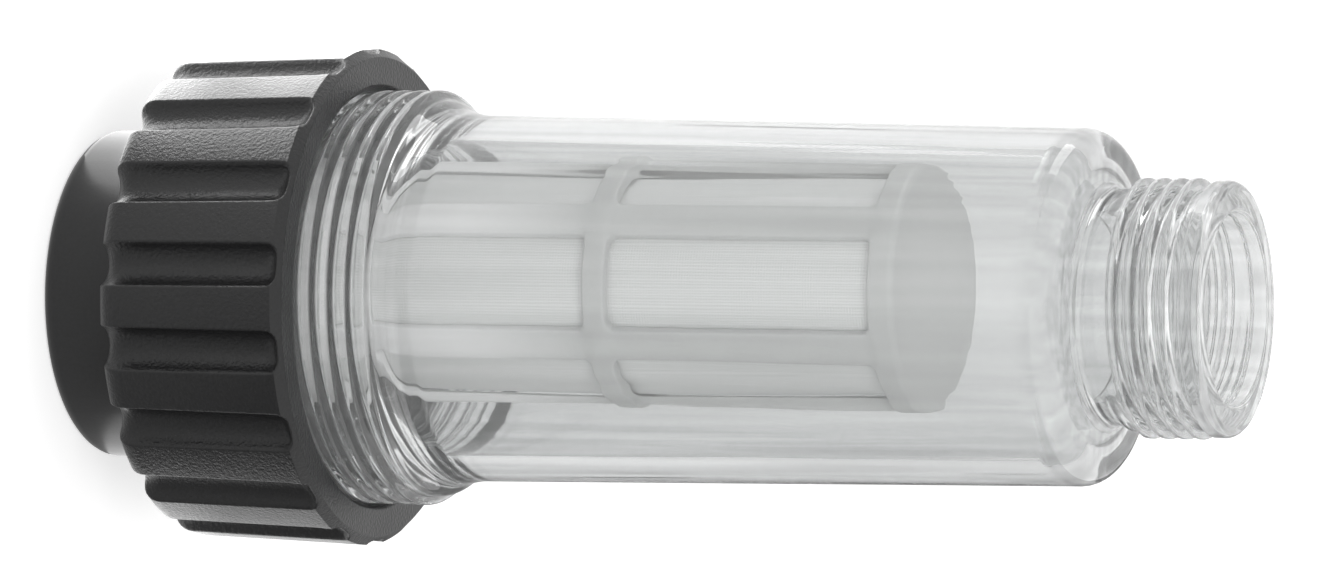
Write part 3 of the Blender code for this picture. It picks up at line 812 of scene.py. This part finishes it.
def bay_outline():
    """The bay's oblong with as many points: straight beyond a window's sides, spread out round each corner."""
    share = np.linspace(0, 2, CORNER_STEPS + 1)[:, None]
    start = np.array([window_across, window_height / 2]) - WINDOW_CORNER
    corner = start + (np.array([bay_across, bay_up]) - start) * np.minimum(1, np.hstack([2 - share, share]))
    up = np.linspace(-start[1], start[1], ALONG_STEPS)[1:-1]
    across = np.linspace(start[0], -start[0], ACROSS_STEPS)[1:-1]
    side = np.stack([np.full_like(up, bay_across), up], axis=1)
    top = np.stack([across, np.full_like(across, bay_up)], axis=1)
    return half_turn_twice(np.concatenate([side, corner, top, corner[::-1] * (-1, 1)]))


def outer_skin(height):
    """The wall's outer radius at a height from a window's middle: the bands stand proud by one step."""
    past = (np.abs(height) - (window_height / 2 - BAND_STEP)) / BAND_STEP
    return strainer_radius + BAND_STEP * np.clip(past, 0, 1)


def bay(column, row):
    """One bay's grid: the wall's section, from its inside round the window's edge to its outside, round the outline."""
    turn = np.linspace(0, math.pi / 2, 4)
    grown = np.concatenate([[WINDOW_SUPPORT], WINDOW_EDGE * (1 - np.sin(turn))])
    inset = np.concatenate([[0], WINDOW_EDGE * (1 - np.cos(turn))])
    inner = np.stack([bay_outline()] + [window_outline(step) for step in grown])
    section = np.concatenate([inner, inner[::-1]])
    inset = np.concatenate([[0], inset])[:, None]
    outer = (outer_skin(inner[:, :, 1]) - inset)[::-1]
    radius = np.concatenate([np.broadcast_to(strainer_bore + inset, outer.shape), outer])
    middle = window_floor + window_height / 2 + row * 2 * bay_up
    angle = section[:, :, 0] / strainer_radius + (column + 0.5) * bay_angle
    return carried_round(radius, middle + section[:, :, 1], angle, strainer_x)


def end_bands():
    """The foot and the closed top, turned about the strainer's axis with the bays' own columns."""
    oblong = bay_outline()
    across = np.sort(oblong[np.isclose(oblong[:, 1], bay_up), 0])[:-1]
    angle = (across[None, :] / strainer_radius + (np.arange(WINDOW_COUNT)[:, None] + 0.5) * bay_angle).ravel()
    low = window_floor - MIDDLE_BAND_HEIGHT / 2
    high = window_top + MIDDLE_BAND_HEIGHT / 2
    foot = [
        (band_radius, low, 0, COARSE),
        (band_radius, strainer_foot, SMALL_FILLET, COARSE),
        (strainer_bore, strainer_foot, SMALL_FILLET, COARSE),
        (strainer_bore, low, 0, COARSE),
    ]
    top = [
        (0.0, strainer_top, 0, COARSE),
        (band_radius, strainer_top, END_DISC_EDGE, COARSE),
        (band_radius, high, 0, COARSE),
    ]
    underside = [
        (strainer_bore, high, 0, COARSE),
        (strainer_bore, strainer_top - END_DISC_WALL, 0, COARSE),
        (0.0, strainer_top - END_DISC_WALL, 0, COARSE),
    ]
    profiles = [rounded(corners, closed=False) for corners in (foot, top, underside)]
    return [carried_round(line[:, :1], line[:, 1:], angle[None, :], strainer_x) for line in profiles]


bays = [bay(column, row) for column in range(WINDOW_COUNT) for row in range(WINDOW_ROWS)]
strainer = mesh_of("strainer_cup", bays + end_bands(), closed=False)

# %% [markdown]
# ## White plastic
#
# The frame is white polypropylene, moulded thin. It is nearly as pale as paper, so its shaded side is
# still light from what bounces about inside the housing. The mould leaves a very soft satin skin with
# shallow sink marks over the ribs, and those change its colour, its gloss and its surface together. From
# the lower row of windows down, the colour turns almost pure white, which is painted light on the foot
# that the cap shades.

# %% White plastic
SINK_SIZE = 5.0 * MM
SOFT_DEPTH = 1.2 * MM


def white_plastic():
    """Moulded white polypropylene: satin, very pale, with soft sink marks and painted light on the foot."""
    material, tree, output = empty_material("polypropylene_moulded_white")
    place_on = add_node(tree, "ShaderNodeTexCoord").outputs["Object"]
    sinks = add_node(
        tree, "ShaderNodeTexNoise", {"Scale": 1 / SINK_SIZE, "Detail": 2.0}, {"Vector": place_on}
    ).outputs["Fac"]
    mottle = add_node(
        tree, "ShaderNodeMix", {6: linear("CACBCA"), 7: linear("D3D4D3")}, {0: sinks}, data_type="RGBA"
    ).outputs[2]
    height = add_node(tree, "ShaderNodeSeparateXYZ", links={0: place_on}).outputs["Z"]
    # Painted light: from the lower windows down, the frame is drawn almost pure white where the cap shades it.
    painted_light_on_foot = add_node(
        tree,
        "ShaderNodeMapRange",
        {"From Min": ring_low, "From Max": (ring_low + window_floor) / 2},
        {"Value": height},
    ).outputs["Result"]
    colour = add_node(
        tree, "ShaderNodeMix", {7: linear("FDFDFD")}, {0: painted_light_on_foot, 6: mottle}, data_type="RGBA"
    ).outputs[2]
    bump = add_node(
        tree, "ShaderNodeBump", {"Strength": 0.3, "Distance": 0.06 * MM}, {"Height": sinks}
    ).outputs["Normal"]
    roughness = add_node(
        tree, "ShaderNodeMapRange", {"To Min": 0.34, "To Max": 0.48}, {"Value": sinks}
    ).outputs["Result"]
    shader = add_node(
        tree,
        "ShaderNodeBsdfPrincipled",
        {
            "IOR": 1.49,
            "Subsurface Weight": 0.4,
            "Subsurface Radius": (1.0, 1.0, 1.0),
            "Subsurface Scale": SOFT_DEPTH,
        },
        {"Base Color": colour, "Roughness": roughness, "Normal": bump},
    )
    tree.links.new(shader.outputs["BSDF"], output.inputs["Surface"])
    return material


place(strainer, "cap_body", "strainer_frame", white_plastic())
print("sink marks about", SINK_SIZE / MM, "mm across")

# %% [markdown]
# ## The gauze
#
# Fine nylon gauze lines the windows. It is a plain woven cloth of round threads, far too many to model
# one by one, so the sleeve is a thin wall and the weave is in its material. Two sine waves across each
# other, one round the sleeve and one along it, make the threads. The angle and the height of each point
# are stored on the mesh as a UV map, because the weave follows the surface round.

# %% The gauze
GAUZE_WALL = 0.35 * MM
GAUZE_ROW = 1.0 * MM
MESH_SIZE = 0.30 * MM
GAUZE_COLUMNS = 144


def gauze_sleeve():
    """A thin sleeve, with a UV map of u = angle * radius and v = height, both in metres."""
    bore = gauze_radius - GAUZE_WALL
    profile = rounded(
        [
            (gauze_radius, gauze_high, GAUZE_WALL / 3, GAUZE_ROW),
            (gauze_radius, gauze_low, GAUZE_WALL / 3, GAUZE_ROW),
            (bore, gauze_low, GAUZE_WALL / 3, GAUZE_ROW),
            (bore, gauze_high, GAUZE_WALL / 3, GAUZE_ROW),
        ]
    )
    angle = angles_round(GAUZE_COLUMNS)[None, :]
    piece = mesh_of("strainer_gauze_sleeve", [carried_round(profile[:, :1], profile[:, 1:], angle, strainer_x)])
    corner = np.empty(len(piece.data.loops), dtype=np.int32)
    piece.data.loops.foreach_get("vertex_index", corner)
    column = corner % GAUZE_COLUMNS
    row = corner // GAUZE_COLUMNS
    wraps = (column == 0) & np.repeat(np.any(column.reshape(-1, 4) == GAUZE_COLUMNS - 1, axis=1), 4)
    along = (column + GAUZE_COLUMNS * wraps) / GAUZE_COLUMNS * math.tau * gauze_radius
    layer = piece.data.uv_layers.new(name="weave")
    layer.data.foreach_set("uv", np.stack([along, profile[row, 1]], axis=1).astype(np.float32).ravel())
    return piece


def nylon_gauze():
    """Woven nylon: round white threads with painted shade between them, and gaps between them that let light through.
    """
    material, tree, output = empty_material("nylon_woven_gauze")
    along = add_node(tree, "ShaderNodeUVMap", uv_map="weave").outputs["UV"]
    threads = []
    for direction in ("X", "Y"):
        threads.append(
            add_node(
                tree,
                "ShaderNodeTexWave",
                {"Scale": math.pi / 10 / MESH_SIZE, "Distortion": 0.0},
                {"Vector": along},
                bands_direction=direction,
            ).outputs["Fac"]
        )
    weave = add_node(
        tree, "ShaderNodeMath", links={0: threads[0], 1: threads[1]}, operation="MAXIMUM"
    ).outputs["Value"]
    bump = add_node(
        tree, "ShaderNodeBump", {"Strength": 0.4, "Distance": 0.04 * MM}, {"Height": weave}
    ).outputs["Normal"]
    # Painted shade: the colour is a little darker in the hollows between the threads.
    colour = add_node(
        tree, "ShaderNodeMix", {6: linear("E6E7E6"), 7: linear("F5F6F5")}, {0: weave}, data_type="RGBA"
    ).outputs[2]
    cover = add_node(
        tree, "ShaderNodeMapRange", {"From Min": 0.45, "From Max": 0.60, "To Min": 0.85}, {"Value": weave}
    ).outputs["Result"]
    shader = add_node(
        tree,
        "ShaderNodeBsdfPrincipled",
        {"Roughness": 0.5, "IOR": 1.53},
        {"Base Color": colour, "Normal": bump, "Alpha": cover},
    )
    tree.links.new(shader.outputs["BSDF"], output.inputs["Surface"])
    return material


gauze = gauze_sleeve()
place(gauze, "cap_body", "strainer_gauze", nylon_gauze())
print("a thread every", MESH_SIZE / MM, "mm")

# %% [markdown]
# ## The camera
#
# The photograph was taken from above with a long lens, and its frame is turned so that the filter lies
# along it. Its distance, height angle, roll and focal length came from fitting the filter's outline. Three
# vectors at right angles to each other carry the camera: the way it looks, and the picture's two sides.

# %% The camera
IMAGE_WIDTH = 1334
FOCAL_PIXELS = 8246
CAMERA_DISTANCE = 855.1 * MM
CAMERA_ELEVATION = math.radians(21.90)
CAMERA_ROLL = math.radians(0.802)
CAMERA_TARGET = Vector((-0.94, 0.0, 63.71)) * MM


def camera_axes():
    """The picture's right, its up and the way back to the camera, for a frame that lies along the filter."""
    forward = Vector((0.0, math.cos(CAMERA_ELEVATION), -math.sin(CAMERA_ELEVATION)))
    along = Vector((0.0, math.sin(CAMERA_ELEVATION), math.cos(CAMERA_ELEVATION)))
    side = Vector((-1.0, 0.0, 0.0))
    right = math.cos(CAMERA_ROLL) * along + math.sin(CAMERA_ROLL) * side
    up = math.cos(CAMERA_ROLL) * side - math.sin(CAMERA_ROLL) * along
    return right, up, -forward


picture_right, picture_up, backward = camera_axes()
camera_data = bpy.data.cameras.new("photo_camera")
camera_data.lens = FOCAL_PIXELS / IMAGE_WIDTH * camera_data.sensor_width
camera = bpy.data.objects.new("photo_camera", camera_data)
bpy.context.scene.collection.objects.link(camera)
stand = Matrix((picture_right, picture_up, backward)).transposed().to_4x4()
camera.matrix_world = Matrix.Translation(CAMERA_TARGET + backward * CAMERA_DISTANCE) @ stand
bpy.context.scene.camera = camera
print(f"lens {camera_data.lens:.1f} mm")

# %% [markdown]
# ## The floor
#
# The filter stands on a pale floor that reads as a white ground. Its own colour would turn grey with the
# light's angle, so where a camera or glass sees it, it also gives off light of its own. A mirror sees only a
# painted reflection instead: light that the floor gives off, strong on the -X side and weak towards +X.
# What lies in shadow stays a little darker than the rest, which keeps the filter on the ground.

# %% The floor
FLOOR_RADIUS = 6.0
FLOOR_DROP = 0.05 * MM
FLOOR_COLUMNS = 96
FLOOR_GLOW = 0.55
PAINTED_REFLECTION_REACH = 60 * MM


def seen_by_eye_mirror_or_glass(tree):
    """1 for a camera, glossy or transmission ray, and 0 for a ray that only carries light."""
    path = add_node(tree, "ShaderNodeLightPath").outputs
    first = add_node(
        tree, "ShaderNodeMath", links={0: path["Is Camera Ray"], 1: path["Is Glossy Ray"]}, operation="MAXIMUM"
    ).outputs["Value"]
    return add_node(
        tree, "ShaderNodeMath", links={0: first, 1: path["Is Transmission Ray"]}, operation="MAXIMUM"
    ).outputs["Value"]


def seen_by_mirror(tree):
    """1 for a ray that a surface threw back, and 0 for one that went through glass or only carries light."""
    path = add_node(tree, "ShaderNodeLightPath").outputs
    straight = add_node(
        tree, "ShaderNodeMath", {0: 1.0}, {1: path["Is Transmission Ray"]}, operation="SUBTRACT"
    ).outputs["Value"]
    return add_node(
        tree, "ShaderNodeMath", links={0: straight, 1: path["Is Glossy Ray"]}, operation="MULTIPLY"
    ).outputs["Value"]


def floor_material():
    """Matt white paper with light of its own for the eye, and a painted reflection for mirrors that fades from -X to
    +X.
    """
    material, tree, output = empty_material("paper_white_matt")
    place_on = add_node(tree, "ShaderNodeTexCoord").outputs["Object"]
    mottle = add_node(tree, "ShaderNodeTexNoise", {"Scale": 40.0, "Detail": 2.0}, {"Vector": place_on}).outputs["Fac"]
    colour = add_node(
        tree, "ShaderNodeMix", {6: linear("E4E4E4"), 7: linear("E8E8E8")}, {0: mottle}, data_type="RGBA"
    ).outputs[2]
    paper = add_node(tree, "ShaderNodeBsdfDiffuse", links={"Color": colour}).outputs["BSDF"]
    glow = add_node(
        tree, "ShaderNodeMath", {1: FLOOR_GLOW}, {0: seen_by_eye_mirror_or_glass(tree)}, operation="MULTIPLY"
    ).outputs["Value"]
    light = add_node(tree, "ShaderNodeEmission", links={"Strength": glow}).outputs["Emission"]
    both = add_node(tree, "ShaderNodeAddShader", links={0: paper, 1: light}).outputs["Shader"]
    # Painted reflection: for mirrors the floor gives off light that fades from 1.2 at -X to 0.2 at +X.
    across = add_node(tree, "ShaderNodeSeparateXYZ", links={0: place_on}).outputs["X"]
    shade = add_node(
        tree,
        "ShaderNodeMapRange",
        {"From Min": -PAINTED_REFLECTION_REACH, "From Max": PAINTED_REFLECTION_REACH, "To Min": 1.2, "To Max": 0.2},
        {"Value": across},
    ).outputs["Result"]
    painted_reflection = add_node(tree, "ShaderNodeEmission", links={"Strength": shade}).outputs["Emission"]
    mixed = add_node(tree, "ShaderNodeMixShader", links={0: seen_by_mirror(tree), 1: both, 2: painted_reflection})
    tree.links.new(mixed.outputs["Shader"], output.inputs["Surface"])
    return material


floor_rings = np.array([0.0, 0.1, 1.0, FLOOR_RADIUS])[::-1, None]
floor_points = carried_round(floor_rings, cad_low.z - FLOOR_DROP, angles_round(FLOOR_COLUMNS)[None, :])
floor = mesh_of("floor", [floor_points[::-1]], closed=False)
floor.data.materials.append(floor_material())
floor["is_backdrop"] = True

# %% [markdown]
# ## The light
#
# The photograph has one broad soft light on the -X side, a little behind the filter. It draws the pale
# streaks along the clear body and the bright edges of the ribs. The rest comes from a white room, which
# is the world here. It is darker towards +X, and that side of the filter is greyer.

# %% The light
LIGHT_LEVEL = 0.76
BOUNCES = 24


def only_for(name, *pieces):
    """A collection of the pieces that a lamp may light."""
    collection = bpy.data.collections.new(name)
    for piece in pieces:
        collection.objects.link(piece)
    return collection


def softbox(name, place_at, size, level):
    """An area lamp that faces the filter. At level 1 it alone would light a white face that looks at it to 1."""
    data = bpy.data.lights.new(name, "AREA")
    data.shape = "RECTANGLE"
    data.size, data.size_y = size
    towards = (cad_low + cad_high) / 2 - Vector(place_at)
    data.energy = level * math.pi**2 * towards.length_squared
    lamp = bpy.data.objects.new(name, data)
    lamp.location = place_at
    lamp.visible_camera = False
    lamp.rotation_mode = "QUATERNION"
    lamp.rotation_quaternion = towards.to_track_quat("-Z", "Y")
    bpy.context.scene.collection.objects.link(lamp)
    print(f"{name}: {data.energy:.2f} W")
    return lamp


def floor_strip(name, place_at, size, radiance):
    """An area lamp that lies on the floor and shines up on the cap alone: power = pi * area * radiance."""
    data = bpy.data.lights.new(name, "AREA")
    data.shape = "ELLIPSE"
    data.size, data.size_y = size
    data.energy = math.pi * (math.pi / 4 * size[0] * size[1]) * radiance
    lamp = bpy.data.objects.new(name, data)
    lamp.location = (*place_at, cad_low.z + 1 * MM)
    lamp.rotation_euler.x = math.pi
    lamp.visible_camera = False
    lamp.light_linking.receiver_collection = strips_light
    bpy.context.scene.collection.objects.link(lamp)
    print(f"{name}: {data.energy:.3f} W")
    return lamp


def white_room():
    """A world that lights from all round, less from +X, and looks white to the eye, to mirrors and to glass."""
    world = bpy.data.worlds.new("white_room")
    world.use_nodes = True
    tree = world.node_tree
    tree.nodes.clear()
    direction = add_node(tree, "ShaderNodeTexCoord").outputs["Generated"]
    across = add_node(tree, "ShaderNodeSeparateXYZ", links={0: direction}).outputs["X"]
    shade = add_node(
        tree,
        "ShaderNodeMapRange",
        {"From Min": -1.0, "From Max": 1.0, "To Min": LIGHT_LEVEL, "To Max": LIGHT_LEVEL * 0.75},
        {"Value": across},
    ).outputs["Result"]
    strength = add_node(
        tree,
        "ShaderNodeMix",
        {3: 1.0},
        {0: seen_by_eye_mirror_or_glass(tree), 2: shade},
        data_type="FLOAT",
    ).outputs[0]
    background = add_node(tree, "ShaderNodeBackground", {"Color": linear("FFFFFF")}, {"Strength": strength})
    output = tree.nodes.new("ShaderNodeOutputWorld")
    tree.links.new(background.outputs["Background"], output.inputs["Surface"])
    return world


bpy.context.scene.world = white_room()
softbox("key_softbox", (-0.55, 0.17, 0.12), (0.34, 0.22), 0.18)
strips_light = only_for("lit_by_floor_strips", cap)
back_lights = only_for("lit_from_behind", strainer, gauze)
for name, place_at, level, pieces_lit in (
    ("front_softbox", (0.05, -0.55, 0.40), 0.47, None),
    ("back_softbox", (0.00, 0.55, 0.30), 0.30, back_lights),
):
    unmirrored = softbox(name, place_at, (0.30, 0.30), level)
    unmirrored.visible_glossy = False
    unmirrored.visible_transmission = False
    unmirrored.light_linking.receiver_collection = pieces_lit
floor_strip("floor_strip_key", (-0.066, 0.020), (0.092, 0.105), 6.2)
floor_strip("floor_strip_fill", (0.060, 0.025), (0.080, 0.080), 1.5)
floor_strip("floor_strip_hub_key", (-0.034, 0.000), (0.044, 0.040), 2.6)
floor_strip("floor_strip_hub_fill", (0.036, 0.004), (0.040, 0.036), 1.4)
bpy.context.scene.view_settings.view_transform = "Standard"
bpy.context.scene.cycles.max_bounces = BOUNCES
bpy.context.scene.cycles.glossy_bounces = BOUNCES
bpy.context.scene.cycles.transmission_bounces = BOUNCES

# %% [markdown]
# ## The size, kept
#
# The dressed model has to stay as large as the imported one. Both boxes are printed, so that they can
# be compared.

# %% The size, kept
seen_low, seen_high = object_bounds()
for axis, cad_size, seen_size in zip("XYZ", cad_high - cad_low, seen_high - seen_low):
    print(f"{axis}: packed {cad_size / MM:.2f} mm, dressed {seen_size / MM:.2f} mm")
